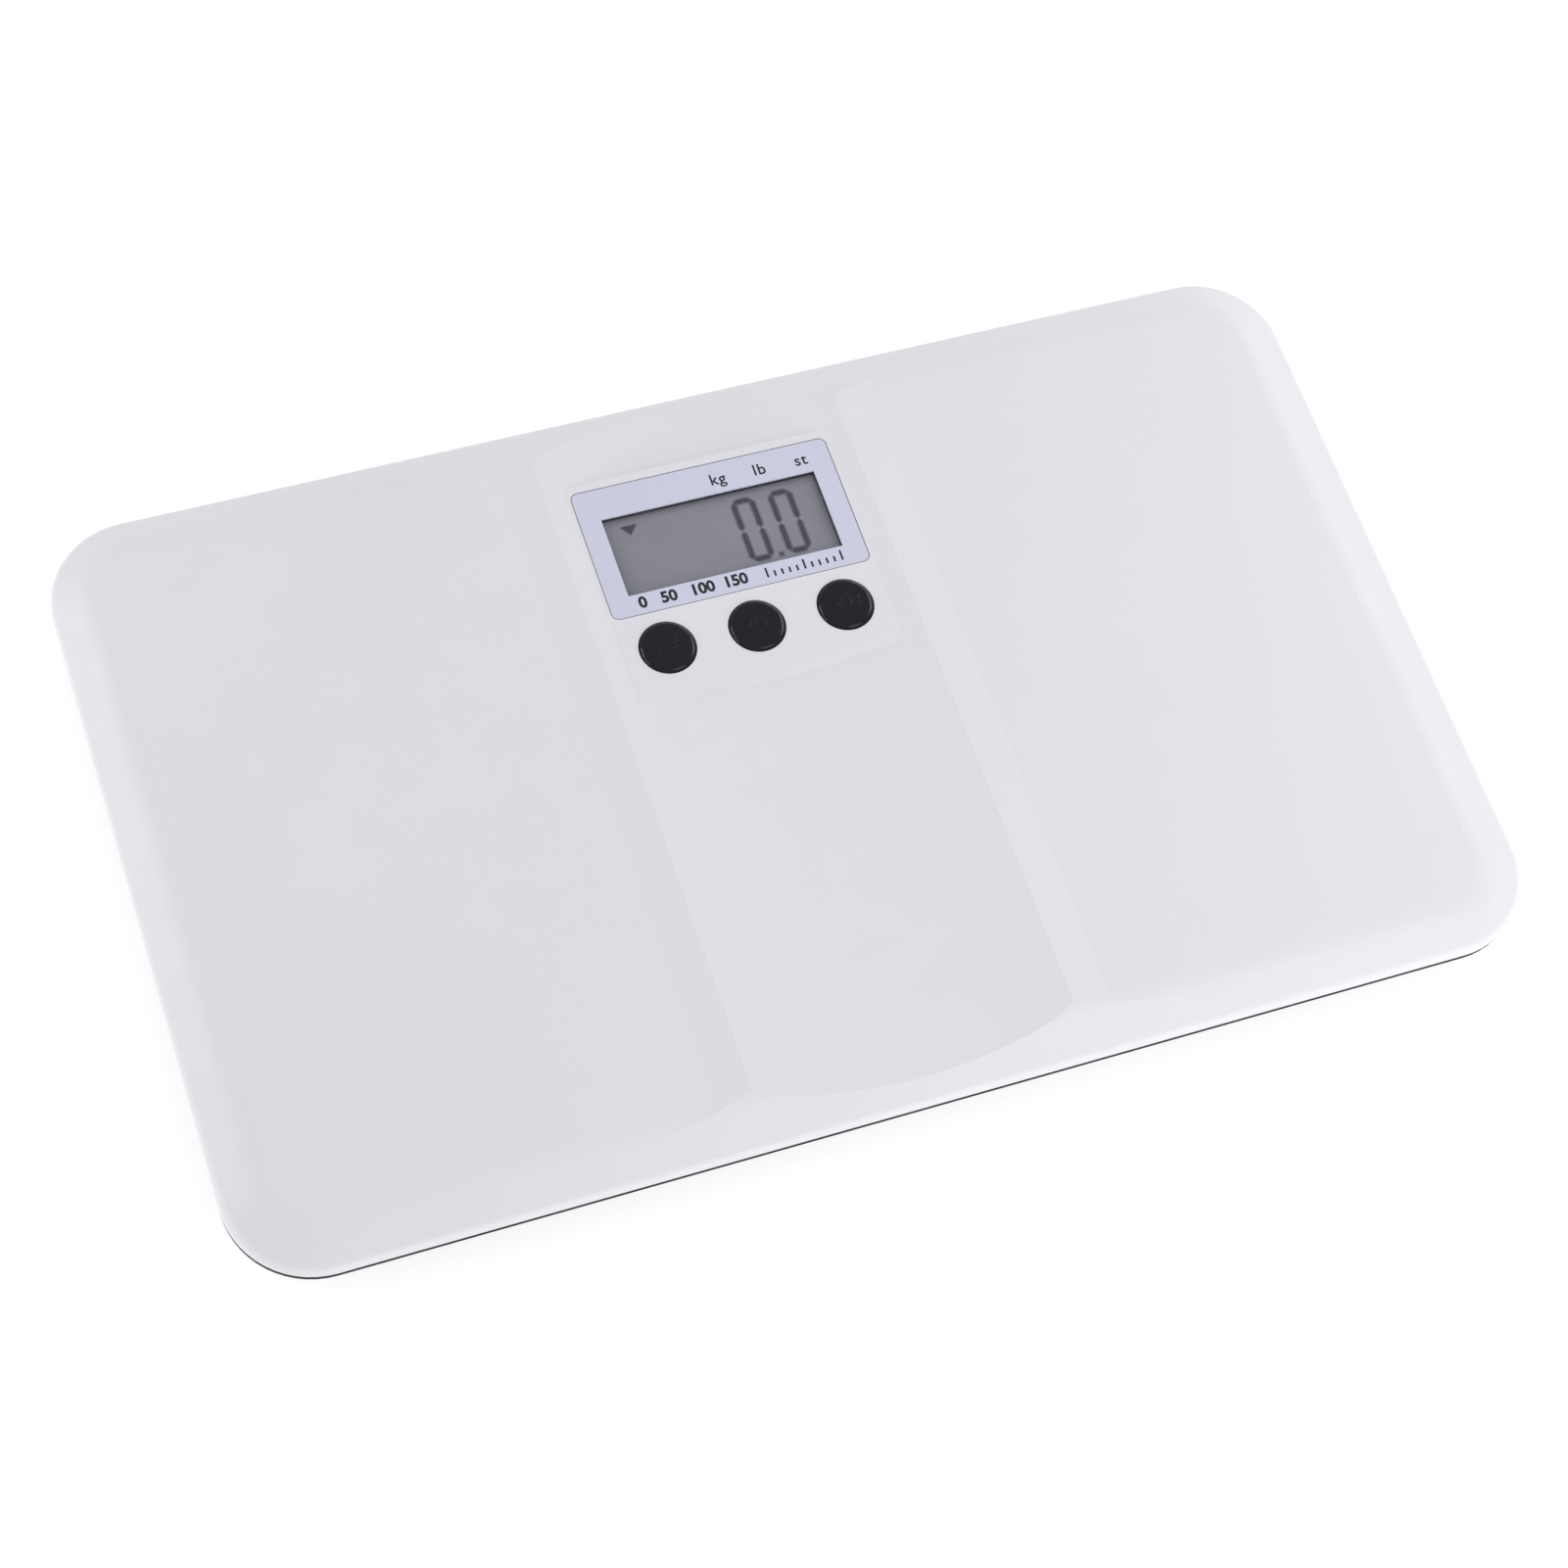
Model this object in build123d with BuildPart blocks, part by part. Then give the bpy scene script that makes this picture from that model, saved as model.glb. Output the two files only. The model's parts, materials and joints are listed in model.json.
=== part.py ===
from build123d import *
import os
from math import radians, sqrt, tan

# Low platform scale for weighing animals: a white moulded cover over a black
# tray, four load cells standing on rubber feet, and a display with three
# buttons let into the cover. Millimetres, X to the right, Y to the back,
# Z up, origin on the floor under the centre of the platform.

os.makedirs("parts", exist_ok=True)

# ---------------------------------------------------------------- overall sizes
plate_length = 530.0
plate_width = 322.0
ridge_height = 40.0          # the two ridges, the platform's highest lines
corner_radius = 35.0
ground_gap = 8.0             # floor to the tray's underside

# ---------------------------------------------------------------- cover form
cover_depth = 16.0           # ridge down to the cover's lower lip
cover_wall = 2.6
bevel_run = 15.2             # from the outline to the bevel's theoretical top edge
bevel_angle = 26.0
bevel_top_radius = 22.8
bevel_side_radius = 3.9
band_depth = 4.4
band_margin = 9.2            # display island's side to a ridge
ridge_rise = 1.0             # ridges above the flat fields
ridge_run = 15.0             # width of the slope that climbs to a ridge
slope_reach = 3.5            # slope carried on below the field, in its own widths
above = 10.0                 # cutting tools' height beyond what they cut

lip_z = ridge_height - cover_depth
field_z = ridge_height - ridge_rise

# ---------------------------------------------------------------- clearances
fit_gap = 0.3                # between pieces that drop into each other
snug_gap = 0.1               # between pieces that are stacked or trapped
thread_gap = 0.05            # between a screw and its moulded pilot hole
pin_gap = 0.05               # running fit of the battery door's pins

# ---------------------------------------------------------------- display and bezel
window_length = 91.5
window_width = 36.5
window_edge = 70.15          # platform's rear edge to the middle of the window
bezel_side = 9.0             # bezel beyond the window at each side
bezel_front = 9.1
bezel_rear = 14.0
bezel_thickness = 0.9
bezel_recess = 1.0
bezel_radius = 3.0
window_center_y = plate_width / 2 - window_edge
bezel_length = window_length + 2 * bezel_side
bezel_width = window_width + bezel_front + bezel_rear
bezel_center_y = window_center_y + (bezel_rear - bezel_front) / 2
bezel_front_y = bezel_center_y - bezel_width / 2

# ---------------------------------------------------------------- buttons
button_radius = 11.5
button_inset = 5.55          # outer buttons' edges inside the bezel's ends
button_gap = 5.6             # buttons' edges to the bezel
button_proud = 0.8           # shoulder of the cap above the island
button_crown = 0.9           # extra height of the dome at its middle
button_edge_radius = 1.2
button_flange = 1.5
button_flange_height = 1.2
button_wall = 1.8
button_roof = 1.6
button_travel = 0.8          # stroke, and the stem's reach below the flange
stem_radius = 2.5
dome_radius = 5.5
dome_foot = 0.6              # thickness of the dome's outer ring
dome_wall = 0.9
button_pitch = bezel_length / 2 - button_inset - button_radius
button_center_y = bezel_front_y - button_gap - button_radius

# ---------------------------------------------------------------- display island
island_side = 1.25           # island beyond the bezel
island_rear = 3.7
island_front = 9.2           # island beyond the buttons
island_drop = 1.1            # island's top below the ridges
island_roof = 2.8            # thickness of its top
island_slope = 3.9           # depth of its sloping ends, at 45 degrees
island_length = bezel_length + 2 * island_side
island_rear_y = bezel_center_y + bezel_width / 2 + island_rear
island_front_y = button_center_y - button_radius - island_front
island_z = ridge_height - island_drop
recess_z = island_z - bezel_recess
band_width = island_length + 2 * band_margin
bay_side_gap = 2.3           # hollow under the island beyond the button flanges
bay_end_wall = 1.0
bay_half_length = button_pitch + button_radius + button_flange + bay_side_gap
bay_roof_z = island_z - island_roof

# ---------------------------------------------------------------- display stack
nose_wall = 1.0
frame_wall = 2.0
lcd_lip = 0.4                # frame's lip over the display
lcd_margin = 2.0             # display cell beyond the window
lcd_thickness = 2.0
lens_thickness = 1.4
strip_height = 2.1
strip_thickness = 2.0
frame_top_z = bay_roof_z - snug_gap
lcd_top_z = frame_top_z - lcd_lip

# ---------------------------------------------------------------- board
board_thickness = 1.6
board_edge = 4.0             # board beyond its side screws
board_screw_radius = 1.25
board_screw_head = 2.5
board_screw_length = 5.5
board_boss_radius = 3.0
board_screw_x = bay_half_length + 1
board_length = 2 * (board_screw_x + board_edge)
board_front_y = island_front_y + 5.3
board_rear_y = island_rear_y - 4.8
board_screw_ys = (board_front_y + 5, board_rear_y - 4)
board_top_z = lcd_top_z - lcd_thickness - strip_height
board_bottom_z = board_top_z - board_thickness
socket_depth = 6.0
socket_width = 8.0
socket_height = 5.0
socket_pitch = 16.0
socket_x = board_length / 2 - 8
socket_center_y = board_front_y + 23
socket_z = board_bottom_z - socket_height / 2
supply_socket_x = 15.0
supply_socket_y = board_front_y + 5
chip_radius = 7.0
chip_height = 1.7
chip_y = board_front_y + 39
capacitor_radius = 2.5
capacitor_height = 4.0
capacitor_places = [
    (-14, board_front_y + 21),
    (-22, board_front_y + 21),
    (22, board_front_y + 47),
]

# ---------------------------------------------------------------- tray
tray_wall = 2.5
tray_rim_inset = 0.2
tray_rim_height = 3.2
tray_bottom_inset = 12.0
tongue_height = 3.7
tray_floor_z = ground_gap + tray_wall
rib_thickness = 1.8
tray_rib_height = 3.0

# ---------------------------------------------------------------- feet and load cells
foot_edge_x = 57.0           # outline to foot centre
foot_edge_y = 53.0
foot_x = plate_length / 2 - foot_edge_x
foot_y = plate_width / 2 - foot_edge_y
cup_radius = 25.0
cup_skirt = 4.0              # cup beyond the rubber pad
pad_radius = cup_radius - cup_skirt
pad_height = 3.0
pad_proud = 1.5
cup_wall = 2.5
cup_rim = 0.9                # rim that keeps the cup in its well
well_gap = 1.3
well_lip_gap = 0.4
well_lip_height = 1.5
well_radius = cup_radius + well_gap
well_roof_z = ground_gap + 9.5
roof_thickness = 2.5
rail_bottom_z = well_roof_z + roof_thickness
cell_corner_gap = 2.26       # cell's corners to the well's wall
cell_size = sqrt(2) * (well_radius - cell_corner_gap)
cell_thickness = 3.0
cell_bottom_z = well_roof_z - cell_thickness
cell_screw_offset = cell_size / 2 - 3.0
cell_relief = 1.0            # space over the tongue
tongue_slot = 2.5            # slots that free the tongue
tongue_width = cell_size - 18.0
tongue_length = cell_size - 12.0
boss_radius = 0.375 * tongue_width
cup_floor = 2.0
cup_room = 2.5               # cup's top below the cell
cup_rib_height = 4.0
pad_groove = 0.5

# ---------------------------------------------------------------- rails
rail_width = 30.0
rail_height = 8.0
rail_wall = 1.5
rail_overhang = 24.0         # past the foot's centre
rail_hole_radius = 6.0
rail_stop_length = 16.0      # low lips on the wells' roofs, beside the rails
rail_stop = 2.0
rail_top_z = rail_bottom_z + rail_height

# ---------------------------------------------------------------- battery bay
bay_center_y = -48.0
battery_radius = 5.25
battery_length = 44.5
battery_nub_radius = 1.9
battery_nub_length = 0.8
battery_pitch = 2 * battery_radius + 0.7
contact_thickness = 0.4
spring_length = 4.2
spring_radius = 2.6
spring_wire = 0.3
door_thickness = 1.6
tab_width = 4.0
finger_radius = 7.0          # shallow recess for a finger, in front of the door
finger_depth = 1.2
catch_width = 16.0
catch_length = 7.0
catch_slot = 0.8
catch_bump = 0.25
hinge_radius = 1.3
hinge_pin_radius = 0.8
bay_wall = 1.6
bay_length = battery_length + spring_length + 2 * contact_thickness
battery_z = ground_gap + door_thickness + 0.4 + battery_radius
bay_top_z = battery_z + battery_radius + 0.35
bay_front_y = bay_center_y - battery_pitch / 2 - battery_radius - 0.4
bay_rear_y = bay_center_y + battery_pitch / 2 + battery_radius + 0.4
hinge_y = bay_rear_y + 1.9
hinge_z = ground_gap + hinge_radius
hinge_room_z = ground_gap + 2 * hinge_radius + 1.0
bay_mouth_rear_y = hinge_y + hinge_radius + fit_gap

# ---------------------------------------------------------------- screws and leads
cover_screw_radius = 1.5
cover_screw_head = 3.0
cover_screw_length = 12.0
cover_screw_edge = 24.0      # outline to screw centre
column_radius = 4.8
boss_pin_radius = 4.0        # cover's boss over each column
head_room = 0.6              # round a screw's head
column_top_z = lip_z + 2.0
head_seat_z = column_top_z - 6.0   # underside of the column's solid top
cell_screw_radius = 1.2
cell_screw_head = 2.4
lead_radius = 1.2
lead_bend = 26.0             # lead's first bend, inwards from the foot's centre
lead_run = 48.0              # its long level run, along X
lead_rise = 36.0             # start of its climb, out from the plug
lead_plug = 14.0             # its straight end before the plug
supply_lead_radius = 0.8

corners = {
    "front_left": (-1, -1),
    "front_right": (1, -1),
    "rear_left": (-1, 1),
    "rear_right": (1, 1),
}
buttons = {"left": -button_pitch, "middle": 0.0, "right": button_pitch}

cover_screw_x = plate_length / 2 - cover_screw_edge
cover_screw_y = plate_width / 2 - cover_screw_edge
cover_screw_places = [
    (-cover_screw_x, -cover_screw_y),
    (-cover_screw_x / 2, -cover_screw_y),
    (cover_screw_x / 2, -cover_screw_y),
    (cover_screw_x, -cover_screw_y),
    (-cover_screw_x, 0),
    (cover_screw_x, 0),
    (-cover_screw_x, cover_screw_y),
    (-cover_screw_x / 2, cover_screw_y),
    (cover_screw_x / 2, cover_screw_y),
    (cover_screw_x, cover_screw_y),
]
board_screw_places = [(sx * board_screw_x, y) for sx in (-1, 1) for y in board_screw_ys]


def upright(x, y):
    """Plane through a vertical axis, for profiles that are revolved about it."""
    return Plane(origin=(x, y, 0), x_dir=(1, 0, 0), z_dir=(0, -1, 0))


def plan(inset):
    """The platform's outline, drawn in by an inset."""
    return RectangleRounded(
        plate_length - 2 * inset,
        plate_width - 2 * inset,
        corner_radius - inset,
    )


# ================================================================ top cover
def bevelled_plate(inset, bottom_z, top_z, run):
    """Rounded plate whose top edge falls away in a soft bevel, run wide."""
    with BuildPart() as plate:
        with BuildSketch(Plane.XY.offset(bottom_z)):
            plan(inset)
        extrude(amount=top_z - bottom_z)
        top = plate.faces().sort_by(Axis.Z)[-1]
        drop = run * tan(radians(bevel_angle))
        chamfer(top.edges(), length=run, length2=drop, reference=top)
        top = plate.faces().sort_by(Axis.Z)[-1]
        fillet(top.edges(), radius=bevel_top_radius - inset)
        shoulder_z = top_z - drop
        shoulder = plate.edges().filter_by_position(Axis.Z, shoulder_z - 0.01, shoulder_z + 0.01)
        fillet(shoulder, radius=bevel_side_radius - inset)
    return plate.part


def band_cutter(drop):
    """Everything above the hollow band's surface, lowered by drop."""
    half = band_width / 2
    with BuildPart() as cutter:
        with BuildSketch(Plane.XZ):
            with BuildLine():
                ThreePointArc(
                    (-half, ridge_height - drop),
                    (0, ridge_height - band_depth - drop),
                    (half, ridge_height - drop),
                )
                Polyline(
                    (half, ridge_height - drop),
                    (half, ridge_height + above),
                    (-half, ridge_height + above),
                    (-half, ridge_height - drop),
                )
            make_face()
        extrude(amount=plate_width, both=True)
    return cutter.part


def inner_form(depth):
    """The cover's form, drawn in by a depth below its outer skin."""
    run = bevel_run - depth + depth * tan(radians(bevel_angle / 2))
    with BuildPart() as form:
        add(bevelled_plate(depth, lip_z - 1, field_z - depth, run))
        add(band_cutter(depth), mode=Mode.SUBTRACT)
    return form.part


with BuildPart() as ridge_band:
    # the raised band, cut to the same bevel as the plate under it
    add(
        bevelled_plate(
            0,
            lip_z,
            ridge_height,
            bevel_run + ridge_rise / tan(radians(bevel_angle)),
        )
    )
    with BuildSketch(Plane.XZ):
        half = band_width / 2
        reach = slope_reach * ridge_run
        reach_z = ridge_height - slope_reach * ridge_rise
        with BuildLine():
            Polyline(
                (half, ridge_height),
                (half + reach, reach_z),
                (-half - reach, reach_z),
                (-half, ridge_height),
                close=True,
            )
        make_face()
    extrude(amount=plate_width, both=True, mode=Mode.INTERSECT)

with BuildPart() as cover_ribs:
    # ribs under the fields, standing on the rails, and the screw bosses
    rib_depth = ridge_height - rail_top_z
    field_start = band_width / 2 + 6
    field_end = plate_length / 2 - cover_wall
    field_reach = field_end - field_start
    for sx in (-1, 1):
        with BuildSketch(Plane.XY.offset(rail_top_z)):
            for step in (0.08, 0.29, 0.50, 0.71):
                with Locations((sx * (field_start + step * field_reach), 0)):
                    Rectangle(rib_thickness, plate_width)
            for y in (-0.22, 0.0, 0.22):
                with Locations((sx * (field_start + field_reach / 2), y * plate_width)):
                    Rectangle(field_reach, rib_thickness)
        extrude(amount=rib_depth)
    with BuildSketch(Plane.XY.offset(column_top_z)):
        with Locations(*cover_screw_places):
            Circle(boss_pin_radius)
    extrude(amount=ridge_height - column_top_z)
    add(inner_form(cover_wall / 2), mode=Mode.INTERSECT)

with BuildPart() as top_cover:
    add(bevelled_plate(0, lip_z, field_z, bevel_run))
    add(ridge_band.part)
    add(band_cutter(0), mode=Mode.SUBTRACT)
    # raised island that carries the display and the buttons
    island_root = island_z - island_slope
    with BuildSketch(Plane.YZ):
        with BuildLine():
            Polyline(
                (island_front_y, island_z),
                (island_rear_y, island_z),
                (island_rear_y + island_slope, island_root),
                (island_front_y - island_slope, island_root),
                close=True,
            )
        make_face()
    extrude(amount=island_length / 2, both=True)
    add(inner_form(cover_wall), mode=Mode.SUBTRACT)
    add(cover_ribs.part)
    # hollow under the island
    with BuildSketch(Plane.XY.offset(board_top_z - 3)):
        with Locations((0, (island_front_y + island_rear_y) / 2)):
            Rectangle(
                2 * bay_half_length,
                island_rear_y - island_front_y - 2 * bay_end_wall,
            )
    extrude(amount=bay_roof_z - board_top_z + 3, mode=Mode.SUBTRACT)
    # bosses for the board
    with BuildSketch(Plane.XY.offset(board_top_z)):
        with Locations(*board_screw_places):
            Circle(board_boss_radius)
    extrude(amount=bay_roof_z + 0.9 - board_top_z)
    # recess for the bezel panel, opening for the display, holes for the buttons
    with BuildSketch(Plane.XY.offset(recess_z)):
        with Locations((0, bezel_center_y)):
            RectangleRounded(
                bezel_length + 2 * fit_gap,
                bezel_width + 2 * fit_gap,
                bezel_radius + fit_gap,
            )
    extrude(amount=bezel_recess + 1, mode=Mode.SUBTRACT)
    with BuildSketch(Plane.XY.offset(bay_roof_z - 1)):
        with Locations((0, window_center_y)):
            Rectangle(
                window_length + 2 * (nose_wall + fit_gap),
                window_width + 2 * (nose_wall + fit_gap),
            )
        with Locations(*[(x, button_center_y) for x in buttons.values()]):
            Circle(button_radius + fit_gap)
    extrude(amount=island_z - bay_roof_z + 2, mode=Mode.SUBTRACT)
    # pilot holes
    with BuildSketch(Plane.XY.offset(column_top_z - 1)):
        with Locations(*cover_screw_places):
            Circle(cover_screw_radius + thread_gap)
    extrude(amount=head_seat_z + cover_screw_length + 0.5 - column_top_z + 1, mode=Mode.SUBTRACT)
    with BuildSketch(Plane.XY.offset(board_top_z - 1)):
        with Locations(*board_screw_places):
            Circle(board_screw_radius + thread_gap)
    extrude(amount=board_screw_length, mode=Mode.SUBTRACT)
top_cover.part.label = "top_cover"
export_step(top_cover.part, "parts/top_cover.step")


# ================================================================ base tray
def tray_form(bottom_inset, bottom_z, top_inset, top_z):
    """Rounded pan whose sides lean out from the bottom to the rim."""
    with BuildPart() as form:
        with BuildSketch(Plane.XY.offset(bottom_z)):
            plan(bottom_inset)
        with BuildSketch(Plane.XY.offset(top_z)):
            plan(top_inset)
        loft()
    return form.part


tongue_inset = cover_wall + fit_gap
side_lean = (tray_bottom_inset - tongue_inset) / (lip_z - ground_gap)
floor_inset = tray_bottom_inset + tray_wall - side_lean * tray_wall
clip_height = 7.0
clip_length = 5.0
clip_gap = 2 * lead_radius + 2 * snug_gap


def lead_route(sx, sy):
    """Points of a load cell's lead, from the cell's edge to its socket."""
    cell_edge_y = sy * (foot_y - cell_size / 2)
    lead_z = cell_bottom_z + cell_thickness / 2
    socket_y = socket_center_y + sy * socket_pitch / 2
    plug_x = socket_x + socket_depth / 2
    turn_y = sy * (foot_y - well_radius - tray_wall - 10.2)
    rise_y = socket_y - turn_y
    return [
        (sx * foot_x, cell_edge_y, lead_z),
        (sx * foot_x, turn_y, lead_z),
        (sx * (foot_x - lead_bend), turn_y + 0.35 * rise_y, lead_z),
        (sx * (foot_x - lead_bend - lead_run), turn_y + 0.80 * rise_y, lead_z),
        (sx * (plug_x + lead_rise), turn_y + 0.96 * rise_y, lead_z + 5),
        (sx * (plug_x + lead_plug), socket_y, socket_z),
        (sx * plug_x, socket_y, socket_z),
    ]


def clip_place(sx, sy):
    """Middle of the lead's longest level run, and that run's direction."""
    start = Vector(lead_route(sx, sy)[2])
    end = Vector(lead_route(sx, sy)[3])
    return (start + end) / 2, end - start


with BuildPart() as base_tray:
    add(tray_form(tray_bottom_inset, ground_gap, tongue_inset, lip_z))
    underside = base_tray.faces().sort_by(Axis.Z)[0]
    fillet(underside.edges(), radius=tray_wall)
    # rim under the cover's lip, and the tongue that stands inside the cover
    with BuildSketch(Plane.XY.offset(lip_z - tray_rim_height)):
        plan(tray_rim_inset)
    extrude(amount=tray_rim_height)
    with BuildSketch(Plane.XY.offset(lip_z)):
        plan(tongue_inset)
    extrude(amount=tongue_height)
    add(
        tray_form(floor_inset, tray_floor_z, tongue_inset + tray_wall, lip_z + tongue_height + 1),
        mode=Mode.SUBTRACT,
    )
    # low ribs on the floor
    with BuildSketch(Plane.XY.offset(tray_floor_z)):
        for share in (-0.31, -0.2, 0.0, 0.2, 0.31):
            with Locations((share * plate_length, 0)):
                Rectangle(rib_thickness, plate_width - 2 * floor_inset - 1)
        for share in (-0.27, -0.08, 0.08, 0.27):
            with Locations((0, share * plate_width)):
                Rectangle(plate_length - 2 * floor_inset - 1, rib_thickness)
    extrude(amount=tray_rib_height)
    # wells for the feet, with low lips that place the rails on their roofs
    foot_places = [(sx * foot_x, sy * foot_y) for sx, sy in corners.values()]
    with BuildSketch(Plane.XY.offset(ground_gap)):
        with Locations(*foot_places):
            Circle(well_radius + tray_wall)
    extrude(amount=rail_bottom_z - ground_gap)
    with BuildSketch(Plane.XY.offset(rail_bottom_z)):
        for x, y in foot_places:
            for side in (-1, 1):
                with Locations((x, y + side * (rail_width / 2 + snug_gap + rail_stop / 2))):
                    Rectangle(rail_stop_length, rail_stop)
    extrude(amount=rail_stop)
    # columns for the cover screws
    with BuildSketch(Plane.XY.offset(ground_gap)):
        with Locations(*cover_screw_places):
            Circle(column_radius)
    extrude(amount=column_top_z - ground_gap)
    # battery box
    with BuildSketch(Plane.XY.offset(ground_gap)):
        with Locations((0, (bay_front_y + bay_mouth_rear_y) / 2)):
            Rectangle(
                bay_length + 2 * bay_wall + 3,
                bay_mouth_rear_y - bay_front_y + 2 * bay_wall,
            )
    extrude(amount=bay_top_z + bay_wall - ground_gap)
    # clips that hold the leads down
    for sx, sy in corners.values():
        middle, along = clip_place(sx, sy)
        clip_plane = Plane(
            origin=(middle.X, middle.Y, tray_floor_z),
            x_dir=(along.X, along.Y, 0),
            z_dir=(0, 0, 1),
        )
        with BuildSketch(clip_plane):
            for side in (-1, 1):
                with Locations((0, side * (clip_gap + rib_thickness) / 2)):
                    Rectangle(clip_length, rib_thickness)
        extrude(amount=clip_height)
    # hollow of each well: a narrow mouth, the well, and relief over the tongue
    with BuildSketch(Plane.XY.offset(ground_gap)):
        with Locations(*foot_places):
            Circle(cup_radius + well_lip_gap)
    extrude(amount=well_lip_height, mode=Mode.SUBTRACT)
    with BuildSketch(Plane.XY.offset(ground_gap + well_lip_height)):
        with Locations(*foot_places):
            Circle(well_radius)
    extrude(amount=well_roof_z - ground_gap - well_lip_height, mode=Mode.SUBTRACT)
    with BuildSketch(Plane.XY.offset(well_roof_z)):
        with Locations(*foot_places):
            Circle(boss_radius + 3)
    extrude(amount=cell_relief, mode=Mode.SUBTRACT)
    # pilot holes for the load cells' screws, and the leads' ways out
    with BuildSketch(Plane.XY.offset(well_roof_z)):
        for x, y in foot_places:
            for side in (-1, 1):
                with Locations((x + side * cell_screw_offset, y)):
                    Circle(cell_screw_radius + thread_gap)
    extrude(amount=1.8, mode=Mode.SUBTRACT)
    with BuildSketch(Plane.XY.offset(cell_bottom_z)):
        for sx, sy in corners.values():
            with Locations((sx * foot_x, sy * (foot_y - well_radius - tray_wall / 2))):
                Rectangle(2 * lead_radius + 0.8, tray_wall + 4)
    extrude(amount=cell_thickness, mode=Mode.SUBTRACT)
    # cover screws: seat for the head and a clear hole above it
    with BuildSketch(Plane.XY.offset(ground_gap)):
        with Locations(*cover_screw_places):
            Circle(cover_screw_head + head_room)
    extrude(amount=head_seat_z - ground_gap, mode=Mode.SUBTRACT)
    with BuildSketch(Plane.XY.offset(head_seat_z)):
        with Locations(*cover_screw_places):
            Circle(cover_screw_radius + 0.2)
    extrude(amount=column_top_z - head_seat_z, mode=Mode.SUBTRACT)
    # battery box: mouth with room for the hinge, then the cells' space
    with BuildSketch(Plane.XY.offset(ground_gap)):
        with Locations((0, (bay_front_y + bay_mouth_rear_y) / 2)):
            Rectangle(bay_length, bay_mouth_rear_y - bay_front_y)
    extrude(amount=hinge_room_z - ground_gap, mode=Mode.SUBTRACT)
    with BuildSketch(Plane.XY.offset(hinge_room_z)):
        with Locations((0, (bay_front_y + bay_rear_y) / 2)):
            Rectangle(bay_length, bay_rear_y - bay_front_y)
    extrude(amount=bay_top_z - hinge_room_z, mode=Mode.SUBTRACT)
    # holes for the door's hinge pins
    with BuildSketch(Plane.YZ):
        with Locations((hinge_y, hinge_z)):
            Circle(hinge_pin_radius + pin_gap)
    extrude(amount=bay_length / 2 + 2, both=True, mode=Mode.SUBTRACT)
    # slots for the contacts' tabs
    with BuildSketch(Plane.XY.offset(battery_z + 1)):
        for side in (-1, 1):
            with Locations((bay_length / 2 + 2, bay_center_y + side * battery_pitch / 2)):
                Rectangle(8, tab_width + 2 * snug_gap)
    extrude(amount=1, mode=Mode.SUBTRACT)
    # finger recess in front of the battery door
    with BuildSketch(Plane.XY.offset(ground_gap)):
        with Locations((0, bay_front_y)):
            Circle(finger_radius)
        with Locations((0, bay_front_y + 1.5 * finger_radius)):
            Rectangle(3 * finger_radius, 3 * finger_radius, mode=Mode.SUBTRACT)
    extrude(amount=finger_depth, mode=Mode.SUBTRACT)
base_tray.part.label = "base_tray"
export_step(base_tray.part, "parts/base_tray.step")


# ================================================================ stiffening rails
for place, side in (("front", -1), ("rear", 1)):
    with BuildPart() as rail:
        with BuildSketch(Plane.YZ):
            with Locations((side * foot_y, rail_bottom_z + rail_height / 2)):
                Rectangle(rail_width, rail_height)
            with Locations((side * foot_y, rail_bottom_z + (rail_height - rail_wall) / 2)):
                Rectangle(
                    rail_width - 2 * rail_wall,
                    rail_height - rail_wall,
                    mode=Mode.SUBTRACT,
                )
        extrude(amount=foot_x + rail_overhang, both=True)
        with BuildSketch(Plane.XY.offset(rail_top_z - rail_wall)):
            with GridLocations(foot_x / 2, 1, 5, 1):
                with Locations((0, side * foot_y)):
                    Circle(rail_hole_radius)
        extrude(amount=rail_wall, mode=Mode.SUBTRACT)
        bends = rail.edges().filter_by(Axis.X).group_by(Axis.Z)[-1]
        fillet(bends, radius=rail_wall)
    rail.part.label = f"{place}_rail"
    export_step(rail.part, f"parts/{place}_rail.step")


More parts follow.
